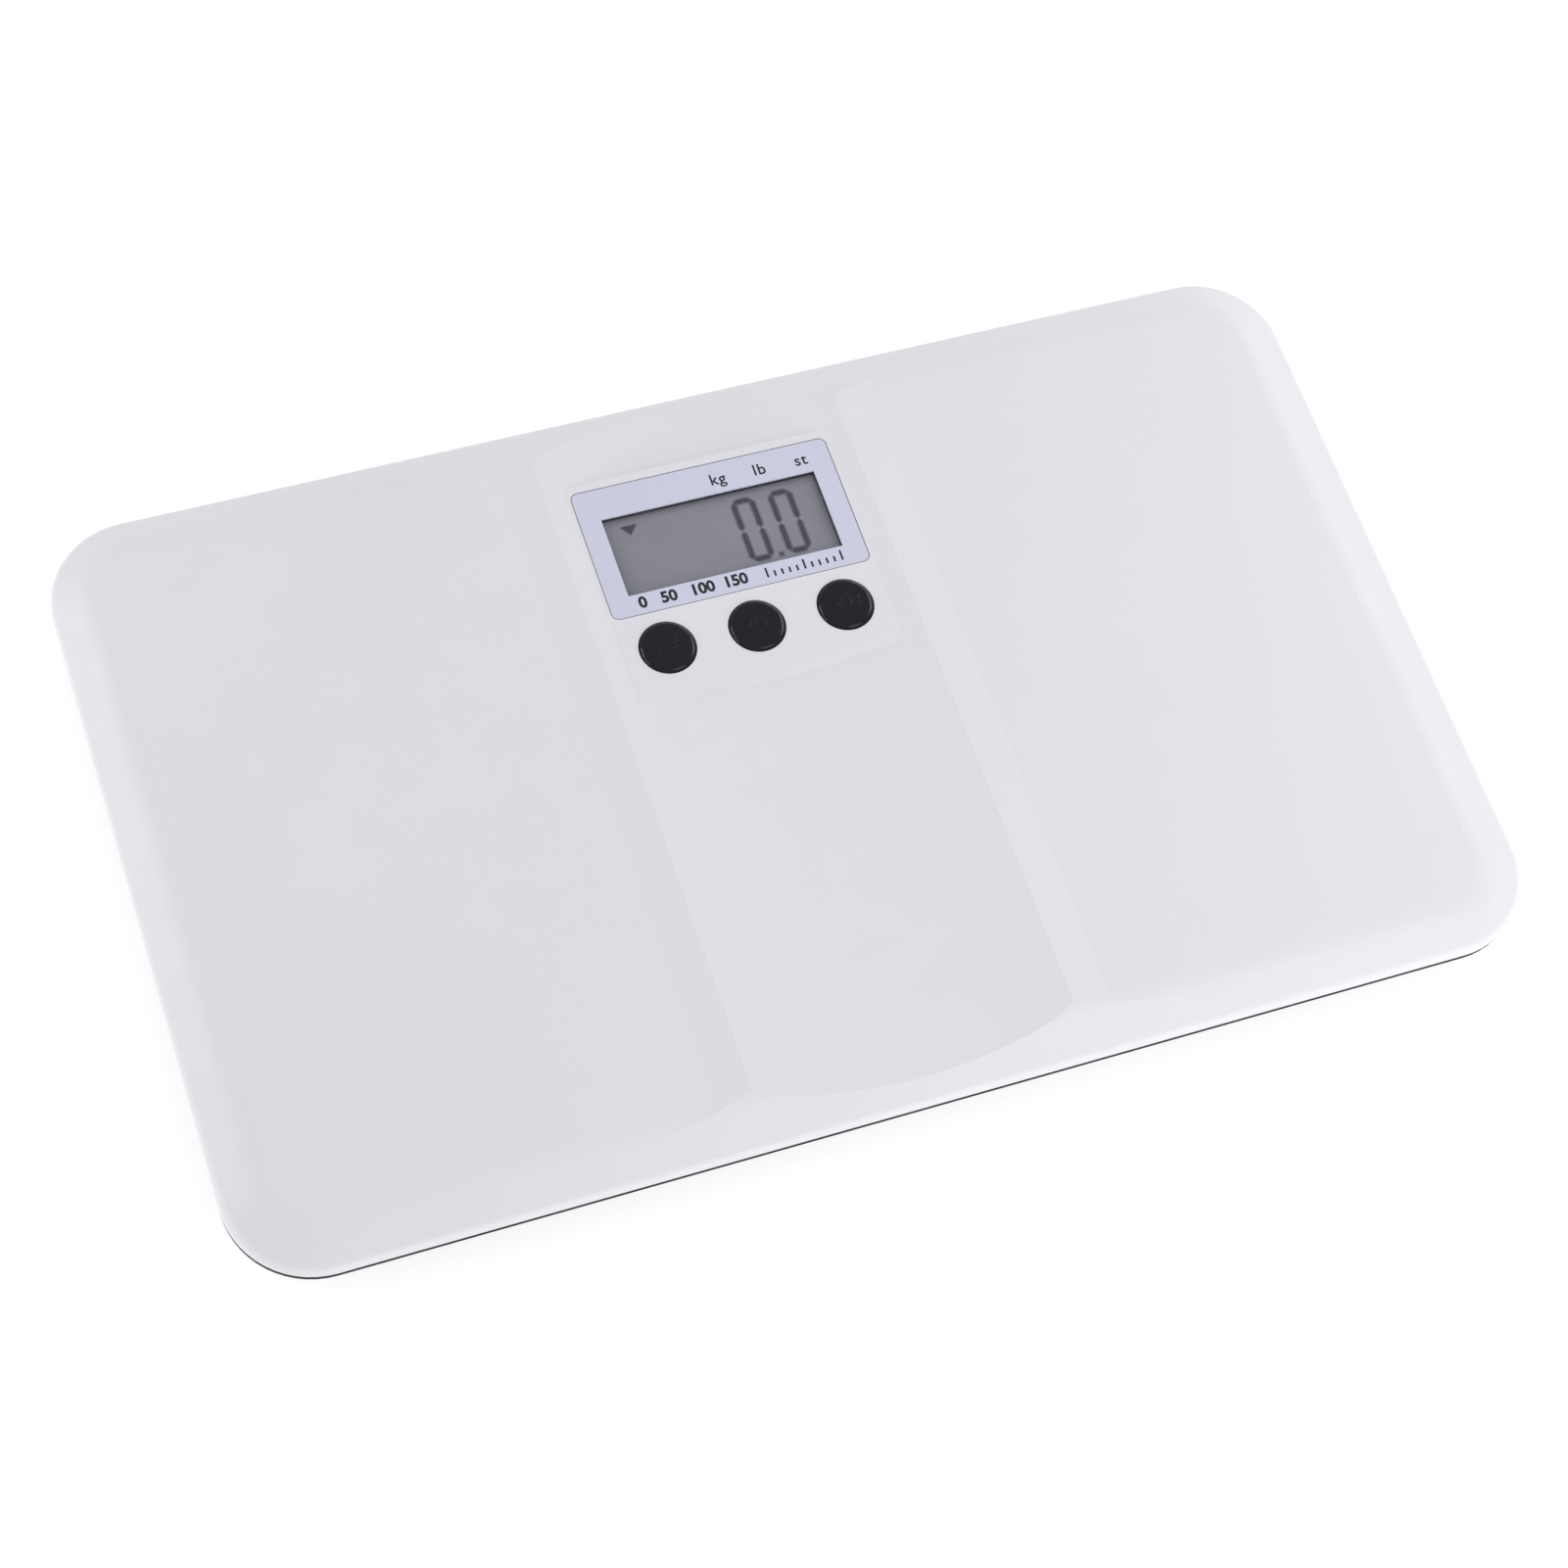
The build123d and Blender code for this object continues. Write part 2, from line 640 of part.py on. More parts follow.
# ================================================================ feet and load cells
for place, (sx, sy) in corners.items():
    x, y = sx * foot_x, sy * foot_y

    with BuildPart() as load_cell:
        # square spring-steel plate with a tongue cut free on three sides
        with BuildSketch(Plane.XY.offset(cell_bottom_z)):
            with Locations((x, y)):
                RectangleRounded(cell_size, cell_size, 3)
                with Locations((0, 0)):
                    RectangleRounded(
                        tongue_width + 2 * tongue_slot,
                        tongue_length + 2,
                        2,
                        mode=Mode.SUBTRACT,
                    )
            with Locations((x, y + 2)):
                Rectangle(tongue_width, tongue_length)
            with Locations((x - cell_screw_offset, y), (x + cell_screw_offset, y)):
                Circle(cell_screw_radius + 0.1, mode=Mode.SUBTRACT)
        extrude(amount=cell_thickness)
    load_cell.part.label = f"load_cell_{place}"
    export_step(load_cell.part, f"parts/load_cell_{place}.step")

    with BuildPart() as foot_cup:
        cup_bottom_z = pad_proud
        cup_floor_z = pad_height + cup_floor
        cup_top_z = cell_bottom_z - cup_room
        rim_z = ground_gap + well_lip_height + fit_gap
        with BuildSketch(upright(x, y)):
            with BuildLine():
                Polyline(
                    (0, pad_height),
                    (pad_radius + snug_gap, pad_height),
                    (pad_radius + snug_gap, cup_bottom_z),
                    (cup_radius - 1, cup_bottom_z),
                    (cup_radius, cup_bottom_z + 1),
                    (cup_radius, rim_z),
                    (cup_radius + cup_rim, rim_z),
                    (cup_radius + cup_rim, cup_top_z - 0.8),
                    (cup_radius + cup_rim - 0.8, cup_top_z),
                    (cup_radius - cup_wall, cup_top_z),
                    (cup_radius - cup_wall, cup_floor_z),
                    (boss_radius, cup_floor_z),
                    (boss_radius, cell_bottom_z),
                    (0, cell_bottom_z),
                    close=True,
                )
            make_face()
        revolve(axis=Axis((x, y, 0), (0, 0, 1)))
        with BuildSketch(Plane.XY.offset(cup_floor_z)):
            for turn in range(4):
                with Locations(Location((x, y, 0), 45 + 90 * turn)):
                    with Locations(((boss_radius + cup_radius) / 2 - 1, 0)):
                        Rectangle(cup_radius - boss_radius - 0.5, cup_floor)
        extrude(amount=cup_rib_height)
    foot_cup.part.label = f"foot_cup_{place}"
    export_step(foot_cup.part, f"parts/foot_cup_{place}.step")

    with BuildPart() as foot_pad:
        with BuildSketch(upright(x, y)):
            with BuildLine():
                Polyline(
                    (0, pad_groove),
                    (0.38 * pad_radius, pad_groove),
                    (0.38 * pad_radius, 0),
                    (0.57 * pad_radius, 0),
                    (0.57 * pad_radius, pad_groove),
                    (0.64 * pad_radius, pad_groove),
                    (0.64 * pad_radius, 0),
                    (pad_radius - 0.8, 0),
                    (pad_radius, 0.8),
                    (pad_radius, pad_height),
                    (0, pad_height),
                    close=True,
                )
            make_face()
        revolve(axis=Axis((x, y, 0), (0, 0, 1)))
    foot_pad.part.label = f"foot_pad_{place}"
    export_step(foot_pad.part, f"parts/foot_pad_{place}.step")


# ================================================================ leads
def corner_radii(points):
    """Arc radius at each corner: 0.45 of the shorter run over tan(half the turn)."""
    radii = []
    for before, corner, after in zip(points, points[1:], points[2:]):
        arrive = Vector(corner) - Vector(before)
        leave = Vector(after) - Vector(corner)
        turn = radians(arrive.get_angle(leave))
        radii.append(0.45 * min(arrive.length, leave.length) / tan(turn / 2))
    return radii


def lead_tube(points, radius, name):
    """Round lead along straight runs joined by tangent arcs."""
    radii = corner_radii(points)
    print(name, "arc radii", [round(r, 1) for r in radii])
    with BuildPart() as tube:
        with BuildLine() as route:
            FilletPolyline(*points, radius=radii)
        with BuildSketch(Plane(origin=route.line @ 0, z_dir=route.line % 0)):
            Circle(radius)
        sweep()
    tube.part.label = name
    return tube


for place, (sx, sy) in corners.items():
    lead = lead_tube(lead_route(sx, sy), lead_radius, f"load_cell_lead_{place}")
    export_step(lead.part, f"parts/load_cell_lead_{place}.step")

tab_end_x = bay_length / 2 + bay_wall + 1.5 + 2.5
tab_z = battery_z + 1.5
for polarity, side in (("positive", -1), ("negative", 1)):
    tab_y = bay_center_y + side * battery_pitch / 2
    socket_mouth_y = supply_socket_y - socket_depth / 2
    out = 10 - 4 * side
    plug_x = supply_socket_x - 2 * side
    supply_route = [
        (tab_end_x, tab_y, tab_z),
        (tab_end_x + out, tab_y, tab_z),
        (tab_end_x + out + 4, tab_y + 24 - 4 * side, tab_z + 3),
        (plug_x + 12, socket_mouth_y - 24 - 3 * side, socket_z - 2),
        (plug_x, socket_mouth_y - 9, socket_z),
        (plug_x, socket_mouth_y, socket_z),
    ]
    lead = lead_tube(supply_route, supply_lead_radius, f"battery_lead_{polarity}")
    export_step(lead.part, f"parts/battery_lead_{polarity}.step")


# ================================================================ display
with BuildPart() as bezel_panel:
    with BuildSketch(Plane.XY.offset(recess_z)):
        with Locations((0, bezel_center_y)):
            RectangleRounded(bezel_length, bezel_width, bezel_radius)
        with Locations((0, window_center_y)):
            Rectangle(window_length, window_width, mode=Mode.SUBTRACT)
    extrude(amount=bezel_thickness)
bezel_panel.part.label = "bezel_panel"
export_step(bezel_panel.part, "parts/bezel_panel.step")

lcd_length = window_length + 2 * lcd_margin
lcd_width = window_width + 2 * lcd_margin
with BuildPart() as lcd_frame:
    # black holder: a skirt round the display and a nose up to the bezel
    with BuildSketch(Plane.XY.offset(board_top_z)):
        with Locations((0, window_center_y)):
            Rectangle(lcd_length + 2 * (fit_gap + frame_wall), lcd_width + 2 * (fit_gap + frame_wall))
    extrude(amount=frame_top_z - board_top_z)
    with BuildSketch(Plane.XY.offset(frame_top_z)):
        with Locations((0, window_center_y)):
            Rectangle(window_length + 2 * nose_wall, window_width + 2 * nose_wall)
    extrude(amount=recess_z - snug_gap - frame_top_z)
    with BuildSketch(Plane.XY.offset(board_top_z)):
        with Locations((0, window_center_y)):
            Rectangle(lcd_length + 2 * fit_gap, lcd_width + 2 * fit_gap)
    extrude(amount=lcd_top_z - board_top_z, mode=Mode.SUBTRACT)
    with BuildSketch(Plane.XY.offset(lcd_top_z)):
        with Locations((0, window_center_y)):
            Rectangle(window_length, window_width)
    extrude(amount=recess_z - lcd_top_z, mode=Mode.SUBTRACT)
lcd_frame.part.label = "lcd_frame"
export_step(lcd_frame.part, "parts/lcd_frame.step")

with BuildPart() as lcd_cell:
    with BuildSketch(Plane.XY.offset(lcd_top_z - lcd_thickness)):
        with Locations((0, window_center_y)):
            Rectangle(lcd_length, lcd_width)
    extrude(amount=lcd_thickness)
lcd_cell.part.label = "lcd_cell"
export_step(lcd_cell.part, "parts/lcd_cell.step")

with BuildPart() as display_lens:
    with BuildSketch(Plane.XY.offset(lcd_top_z)):
        with Locations((0, window_center_y)):
            Rectangle(window_length - 2 * snug_gap, window_width - 2 * snug_gap)
    extrude(amount=lens_thickness)
display_lens.part.label = "display_lens"
export_step(display_lens.part, "parts/display_lens.step")

with BuildPart() as zebra_strip:
    with BuildSketch(Plane.XY.offset(board_top_z)):
        with Locations((0, window_center_y - lcd_width / 2 + strip_thickness)):
            Rectangle(window_length - 10, strip_thickness)
    extrude(amount=strip_height)
zebra_strip.part.label = "zebra_strip"
export_step(zebra_strip.part, "parts/zebra_strip.step")


# ================================================================ board
with BuildPart() as main_board:
    board_center_y = (board_front_y + board_rear_y) / 2
    with BuildSketch(Plane.XY.offset(board_bottom_z)):
        with Locations((0, board_center_y)):
            RectangleRounded(board_length, board_rear_y - board_front_y, 2)
        with Locations(*board_screw_places):
            Circle(board_screw_radius + 0.15, mode=Mode.SUBTRACT)
    extrude(amount=board_thickness)
main_board.part.label = "main_board"
export_step(main_board.part, "parts/main_board.step")

with BuildPart() as control_chip:
    # low blob of potting resin over the bonded chip, under the board
    with BuildSketch(Plane.XY.offset(board_bottom_z - chip_height)):
        with Locations((0, chip_y)):
            Circle(chip_radius)
    extrude(amount=chip_height)
    fillet(control_chip.edges().group_by(Axis.Z)[0], radius=1.5)
control_chip.part.label = "control_chip"
export_step(control_chip.part, "parts/control_chip.step")

with BuildPart() as lead_sockets:
    side_sockets = [
        (sx * socket_x, socket_center_y + sy * socket_pitch / 2) for sx, sy in corners.values()
    ]
    with BuildSketch(Plane.XY.offset(board_bottom_z - socket_height)):
        with Locations(*side_sockets):
            Rectangle(socket_depth, socket_width)
        with Locations((supply_socket_x, supply_socket_y)):
            Rectangle(socket_width, socket_depth)
    extrude(amount=socket_height)
lead_sockets.part.label = "lead_sockets"
export_step(lead_sockets.part, "parts/lead_sockets.step")

with BuildPart() as capacitors:
    with BuildSketch(Plane.XY.offset(board_bottom_z - capacitor_height)):
        with Locations(*capacitor_places):
            Circle(capacitor_radius)
    extrude(amount=capacitor_height)
capacitors.part.label = "capacitors"
export_step(capacitors.part, "parts/capacitors.step")


# ================================================================ buttons
for place, x in buttons.items():
    y = button_center_y
    flange_top_z = bay_roof_z - snug_gap
    flange_bottom_z = flange_top_z - button_flange_height
    shoulder_z = island_z + button_proud
    cap_roof_z = shoulder_z - button_roof
    stem_bottom_z = flange_bottom_z - button_travel

    with BuildPart() as button:
        with BuildSketch(upright(x, y)):
            with BuildLine():
                Polyline(
                    (0, shoulder_z + button_crown),
                    (0, stem_bottom_z),
                    (stem_radius, stem_bottom_z),
                    (stem_radius, cap_roof_z),
                    (button_radius - button_wall, cap_roof_z),
                    (button_radius - button_wall, flange_bottom_z),
                    (button_radius + button_flange, flange_bottom_z),
                    (button_radius + button_flange, flange_top_z),
                    (button_radius, flange_top_z),
                    (button_radius, shoulder_z),
                )
                ThreePointArc(
                    (button_radius, shoulder_z),
                    (button_radius / 2, shoulder_z + 0.76 * button_crown),
                    (0, shoulder_z + button_crown),
                )
            make_face()
        revolve(axis=Axis((x, y, 0), (0, 0, 1)))
        rim = button.edges().filter_by_position(Axis.Z, shoulder_z - 0.01, shoulder_z + 0.01)
        fillet(rim.filter_by(GeomType.CIRCLE), radius=button_edge_radius)
    button.part.label = f"button_{place}"
    export_step(button.part, f"parts/button_{place}.step")

    with BuildPart() as dome:
        # silicone dome, hollow underneath, that pushes the cap back up
        with BuildSketch(upright(x, y)):
            with BuildLine():
                Polyline(
                    (0, stem_bottom_z),
                    (stem_radius + 0.3, stem_bottom_z),
                    (dome_radius - 0.5, board_top_z + dome_foot),
                    (dome_radius, board_top_z + dome_foot),
                    (dome_radius, board_top_z),
                    (dome_radius - 1.1, board_top_z),
                    (stem_radius - 0.3, stem_bottom_z - dome_wall),
                    (0, stem_bottom_z - dome_wall),
                    close=True,
                )
            make_face()
        revolve(axis=Axis((x, y, 0), (0, 0, 1)))
    dome.part.label = f"dome_{place}"
    export_step(dome.part, f"parts/dome_{place}.step")


# ================================================================ batteries and door
body_length = battery_length - battery_nub_length
for place, side in (("front", -1), ("rear", 1)):
    y = bay_center_y + side * battery_pitch / 2
    # the front cell's nub points right, the rear cell's points left
    flat_end_x = side * (bay_length / 2 - contact_thickness - spring_length)
    with BuildPart() as battery:
        with BuildSketch(Plane.YZ.offset(flat_end_x)):
            with Locations((y, battery_z)):
                Circle(battery_radius)
        extrude(amount=-side * body_length)
        with BuildSketch(Plane.YZ.offset(flat_end_x - side * body_length)):
            with Locations((y, battery_z)):
                Circle(battery_nub_radius)
        extrude(amount=-side * battery_nub_length)
    battery.part.label = f"battery_{place}"
    export_step(battery.part, f"parts/battery_{place}.step")


def contact_spring(face_x, direction, y):
    """Coil spring that stands on a contact plate and presses on a cell's flat end."""
    coil_height = spring_length - 2 * spring_wire - snug_gap
    with BuildPart() as spring:
        with BuildLine() as coil:
            Helix(
                pitch=coil_height / 3,
                height=coil_height,
                radius=spring_radius,
                center=(face_x, y, battery_z),
                direction=(direction, 0, 0),
            )
        with BuildSketch(Plane(origin=coil.line @ 0, z_dir=coil.line % 0)):
            Circle(spring_wire)
        sweep(is_frenet=True)
    return spring.part


def contact_plate(face_x, direction, centers_y, width):
    """Thin plate against the end wall; direction points into the bay."""
    with BuildPart() as plate:
        with BuildSketch(Plane.YZ.offset(face_x)):
            with Locations(*[(y, battery_z) for y in centers_y]):
                Rectangle(width, 2 * battery_radius - 1.5)
        extrude(amount=-direction * contact_thickness)
    return plate.part


def contact_tab(y):
    """Tab that leaves the battery box through its right-hand wall."""
    with BuildPart() as tab:
        with BuildSketch(Plane.XY.offset(tab_z - contact_thickness / 2)):
            with Locations(((bay_length / 2 - contact_thickness + tab_end_x) / 2, y)):
                Rectangle(tab_end_x - bay_length / 2 + contact_thickness, tab_width)
        extrude(amount=contact_thickness)
    return tab.part


front_cell_y = bay_center_y - battery_pitch / 2
rear_cell_y = bay_center_y + battery_pitch / 2
left_face_x = -bay_length / 2 + contact_thickness
right_face_x = bay_length / 2 - contact_thickness

with BuildPart() as contact_link:
    add(contact_plate(left_face_x, 1, (front_cell_y, rear_cell_y), battery_pitch))
    add(contact_spring(left_face_x, 1, front_cell_y))
contact_link.part.label = "contact_link"
export_step(contact_link.part, "parts/contact_link.step")

with BuildPart() as contact_positive:
    add(contact_plate(right_face_x, -1, (front_cell_y,), battery_pitch - 2))
    add(contact_tab(front_cell_y))
contact_positive.part.label = "contact_positive"
export_step(contact_positive.part, "parts/contact_positive.step")

with BuildPart() as contact_negative:
    add(contact_plate(right_face_x, -1, (rear_cell_y,), battery_pitch - 2))
    add(contact_spring(right_face_x, -1, rear_cell_y))
    add(contact_tab(rear_cell_y))
contact_negative.part.label = "contact_negative"
export_step(contact_negative.part, "parts/contact_negative.step")

with BuildPart() as battery_door:
    door_length = bay_length - 2 * fit_gap
    door_front_y = bay_front_y + 0.4
    with BuildSketch(Plane.XY.offset(ground_gap)):
        with Locations((0, (door_front_y + hinge_y) / 2)):
            Rectangle(door_length, hinge_y - door_front_y)
    extrude(amount=door_thickness)
    with BuildSketch(Plane.YZ):
        with Locations((hinge_y, hinge_z)):
            Circle(hinge_radius)
    extrude(amount=door_length / 2, both=True)
    with BuildSketch(Plane.YZ):
        with Locations((hinge_y, hinge_z)):
            Circle(hinge_pin_radius)
    extrude(amount=bay_length / 2 + 1.5, both=True)
    # springy catch between two slots, with a bump that meets the box's wall
    with BuildSketch(Plane.XY.offset(ground_gap)):
        for side in (-1, 1):
            with Locations((side * catch_width / 2, door_front_y + catch_length / 2)):
                Rectangle(catch_slot, catch_length)
    extrude(amount=door_thickness, mode=Mode.SUBTRACT)
    with BuildSketch(Plane.YZ):
        with Locations((door_front_y, ground_gap + door_thickness / 2)):
            Circle(catch_bump)
    extrude(amount=0.375 * catch_width, both=True)
    # grip grooves beside the catch
    with BuildSketch(Plane.XY.offset(ground_gap)):
        with Locations((0, door_front_y + 6)):
            with GridLocations(1, 1.8, 1, 4):
                Rectangle(11, 0.7)
    extrude(amount=0.4, mode=Mode.SUBTRACT)
battery_door.part.label = "battery_door"
export_step(battery_door.part, "parts/battery_door.step")


# ================================================================ screws
def pan_screws(places, seat_z, shank_radius, shank_length, head_radius, head_height):
    """Screws driven upwards: heads under the seat, cross recesses below."""
    with BuildPart() as screws:
        with BuildSketch(Plane.XY.offset(seat_z)):
            with Locations(*places):
                Circle(shank_radius)
        extrude(amount=shank_length)
        with BuildSketch(Plane.XY.offset(seat_z - head_height)):
            with Locations(*places):
                Circle(head_radius)
        extrude(amount=head_height)
        lower_rims = screws.edges().filter_by(GeomType.CIRCLE).group_by(Axis.Z)[0]
        fillet(lower_rims, radius=head_height * 0.4)
        with BuildSketch(Plane.XY.offset(seat_z - head_height)):
            with Locations(*places):
                Rectangle(head_radius * 1.2, head_radius * 0.25)
                Rectangle(head_radius * 0.25, head_radius * 1.2)
        extrude(amount=head_height * 0.6, mode=Mode.SUBTRACT)
    return screws


cover_screws = pan_screws(
    cover_screw_places, head_seat_z, cover_screw_radius, cover_screw_length, cover_screw_head, 2.0
)
cover_screws.part.label = "cover_screws"
export_step(cover_screws.part, "parts/cover_screws.step")

board_screws = pan_screws(
    board_screw_places, board_bottom_z, board_screw_radius, board_screw_length, board_screw_head, 1.5
)
board_screws.part.label = "board_screws"
export_step(board_screws.part, "parts/board_screws.step")

cell_screw_places = [
    (sx * foot_x + side * cell_screw_offset, sy * foot_y)
    for sx, sy in corners.values()
    for side in (-1, 1)
]
load_cell_screws = pan_screws(
    cell_screw_places, cell_bottom_z, cell_screw_radius, cell_thickness + 1.5, cell_screw_head, 1.5
)
load_cell_screws.part.label = "load_cell_screws"
export_step(load_cell_screws.part, "parts/load_cell_screws.step")
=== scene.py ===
import json
import math

import bmesh
import bpy
from mathutils import Matrix, Vector
from mathutils.bvhtree import BVHTree


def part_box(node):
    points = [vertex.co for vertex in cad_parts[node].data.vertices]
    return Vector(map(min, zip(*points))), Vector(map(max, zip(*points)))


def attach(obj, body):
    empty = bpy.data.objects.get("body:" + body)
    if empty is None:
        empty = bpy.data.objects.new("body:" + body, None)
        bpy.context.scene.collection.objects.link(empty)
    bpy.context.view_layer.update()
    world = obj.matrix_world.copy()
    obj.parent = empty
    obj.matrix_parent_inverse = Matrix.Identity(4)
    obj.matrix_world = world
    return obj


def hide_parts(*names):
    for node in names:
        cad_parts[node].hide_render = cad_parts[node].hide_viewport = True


MM = 0.001

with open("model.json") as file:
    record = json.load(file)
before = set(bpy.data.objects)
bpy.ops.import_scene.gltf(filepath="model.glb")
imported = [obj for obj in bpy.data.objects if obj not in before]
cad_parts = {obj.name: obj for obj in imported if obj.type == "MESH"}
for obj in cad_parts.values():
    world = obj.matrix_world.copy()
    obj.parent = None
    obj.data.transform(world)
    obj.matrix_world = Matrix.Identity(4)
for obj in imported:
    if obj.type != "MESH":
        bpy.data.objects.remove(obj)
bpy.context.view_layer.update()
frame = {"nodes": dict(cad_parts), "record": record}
nodes = frame["nodes"]

# Height of the white cover's lower edge above the floor, which the camera was solved from.
LIP_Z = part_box("top_cover")[0].z

# Levels of a noise between which a colour or a gloss goes from its lowest to its highest.
NOISE_LOW, NOISE_HIGH = 0.3, 0.7
# How far roughness drifts either way.
PLASTIC_DRIFT, METAL_DRIFT = 0.05, 0.08
# A rolled streak's frequency along X, as a share of that across it.
STREAK_STRETCH = 0.04


# ------------------------------------------------------------------ materials
def new_material(name, colour, roughness, metallic=0.0):
    """An empty Principled material and its shader node; colour is linear RGB."""
    material = bpy.data.materials.new(name)
    material.use_nodes = True
    shader = material.node_tree.nodes["Principled BSDF"]
    shader.inputs["Base Color"].default_value = (*colour, 1)
    shader.inputs["Roughness"].default_value = roughness
    shader.inputs["Metallic"].default_value = metallic
    return material, shader


def noise(material, scale, detail=3.0, stretch=None):
    """Noise in the row frame's metres; scale is in features per metre."""
    tree = material.node_tree
    vector = tree.nodes.new("ShaderNodeTexCoord").outputs["Object"]
    texture = tree.nodes.new("ShaderNodeTexNoise")
    texture.inputs["Scale"].default_value = scale
    texture.inputs["Detail"].default_value = detail
    texture.inputs["Roughness"].default_value = 0.55
    if stretch:
        mapping = tree.nodes.new("ShaderNodeMapping")
        mapping.inputs["Scale"].default_value = stretch
        tree.links.new(vector, mapping.inputs["Vector"])
        vector = mapping.outputs["Vector"]
    tree.links.new(vector, texture.inputs["Vector"])
    return texture.outputs["Fac"]


def ramp(material, source, low, high):
    """Colour ramp from low to high."""
    tree = material.node_tree
    node = tree.nodes.new("ShaderNodeValToRGB")
    ends = ((NOISE_LOW, low), (NOISE_HIGH, high))
    for element, (position, colour) in zip(node.color_ramp.elements, ends):
        element.position = position
        element.color = (*colour, 1)
    tree.links.new(source, node.inputs["Fac"])
    return node.outputs["Color"]


def vary_colour(material, shader, source, colour, spread):
    """Base colour that drifts by a share of itself either way."""
    low = [c * (1 - spread) for c in colour]
    high = [c * (1 + spread) for c in colour]
    material.node_tree.links.new(ramp(material, source, low, high), shader.inputs["Base Color"])


def vary_roughness(material, shader, source, low, high):
    """Roughness that drifts from low to high."""
    tree = material.node_tree
    node = tree.nodes.new("ShaderNodeMapRange")
    node.inputs["From Min"].default_value = NOISE_LOW
    node.inputs["From Max"].default_value = NOISE_HIGH
    node.inputs["To Min"].default_value = low
    node.inputs["To Max"].default_value = high
    tree.links.new(source, node.inputs["Value"])
    tree.links.new(node.outputs["Result"], shader.inputs["Roughness"])


def bump(material, shader, source, depth):
    """Relief of a depth in metres."""
    tree = material.node_tree
    node = tree.nodes.new("ShaderNodeBump")
    node.inputs["Strength"].default_value = 1.0
    node.inputs["Distance"].default_value = depth
    tree.links.new(source, node.inputs["Height"])
    tree.links.new(node.outputs["Normal"], shader.inputs["Normal"])


def moulded(name, colour, roughness, grain, depth, spread):
    """Moulded plastic: fine grain, slow drift of colour and of gloss."""
    material, shader = new_material(name, colour, roughness)
    vary_colour(material, shader, noise(material, 14, detail=4), colour, spread)
    gloss = noise(material, 55, detail=5)
    vary_roughness(material, shader, gloss, roughness - PLASTIC_DRIFT, roughness + PLASTIC_DRIFT)
    bump(material, shader, noise(material, grain, detail=2), depth)
    return material


def metal(name, colour, roughness, streak, depth):
    """Rolled or plated metal with fine streaks along X."""
    material, shader = new_material(name, colour, roughness, 1.0)
    stretch = (streak * STREAK_STRETCH, streak, streak)
    source = noise(material, 1, detail=4, stretch=stretch)
    vary_colour(material, shader, source, colour, 0.06)
    vary_roughness(material, shader, source, roughness - METAL_DRIFT, roughness + METAL_DRIFT)
    bump(material, shader, source, depth)
    return material


# Moulded parts: colour, roughness, grain per metre, grain's depth in metres, colour's spread.
PLASTICS = {
    "white_plastic": ((0.715, 0.710, 0.745), 0.40, 1500, 0.000004, 0.006),
    "black_plastic": ((0.008, 0.008, 0.010), 0.58, 2200, 0.00004, 0.15),
    "foot_plastic": ((0.030, 0.030, 0.033), 0.50, 2200, 0.00003, 0.15),
    "pad_rubber": ((0.028, 0.027, 0.026), 0.80, 900, 0.00006, 0.25),
    "lead_jacket": ((0.62, 0.62, 0.60), 0.50, 2500, 0.00001, 0.05),
    "lead_red": ((0.50, 0.02, 0.015), 0.45, 2500, 0.00001, 0.05),
    "lead_black": ((0.02, 0.02, 0.02), 0.45, 2500, 0.00001, 0.05),
    "board_laminate": ((0.02, 0.14, 0.06), 0.35, 3000, 0.00001, 0.12),
    "chip_resin": ((0.015, 0.015, 0.016), 0.18, 400, 0.00003, 0.10),
    "socket_plastic": ((0.72, 0.69, 0.58), 0.50, 2500, 0.00001, 0.03),
    "strip_rubber": ((0.40, 0.20, 0.15), 0.70, 1500, 0.00002, 0.12),
    "frame_plastic": ((0.010, 0.010, 0.011), 0.60, 2200, 0.00002, 0.15),
    "bezel_print": ((0.585, 0.590, 0.730), 0.36, 2600, 0.000004, 0.008),
    "button_gloss": ((0.002, 0.002, 0.006), 0.11, 260, 0.000003, 0.10),
    "dome_silicone": ((0.55, 0.55, 0.54), 0.60, 1200, 0.00001, 0.04),
    "battery_sleeve": ((0.05, 0.055, 0.07), 0.30, 2500, 0.000005, 0.10),
}

# Metal parts: colour, roughness, streaks per metre, streaks' depth in metres.
METALS = {
    "rail_steel": ((0.55, 0.56, 0.58), 0.34, 1500, 0.00001),
    "cell_steel": ((0.48, 0.47, 0.45), 0.30, 2000, 0.00001),
    "screw_steel": ((0.62, 0.63, 0.65), 0.24, 2500, 0.000005),
    "capacitor_can": ((0.52, 0.54, 0.58), 0.28, 1500, 0.000005),
    "contact_metal": ((0.66, 0.64, 0.60), 0.25, 2500, 0.000005),
}

# Black parts whose gloss is weaker than plain plastic's.
SPECULAR_LEVELS = {"button_gloss": 0.36, "black_plastic": 0.08, "frame_plastic": 0.15}


def lcd_material():
    """Grey reflective display: faint mottling of the reflector behind the polariser."""
    colour = (0.222, 0.220, 0.256)
    material, shader = new_material("lcd_glass", colour, 0.32)
    vary_colour(material, shader, noise(material, 45, 3), colour, 0.05)
    bump(material, shader, noise(material, 4500, 2), 0.000004)
    return material


def lens_material():
    """Clear acrylic, mostly see-through, with a soft gloss."""
    material, shader = new_material("clear_lens", (0.75, 0.77, 0.80), 0.10)
    shader.inputs["Alpha"].default_value = 0.06
    shader.inputs["IOR"].default_value = 1.49
    vary_roughness(material, shader, noise(material, 120, 4), 0.07, 0.14)
    return material


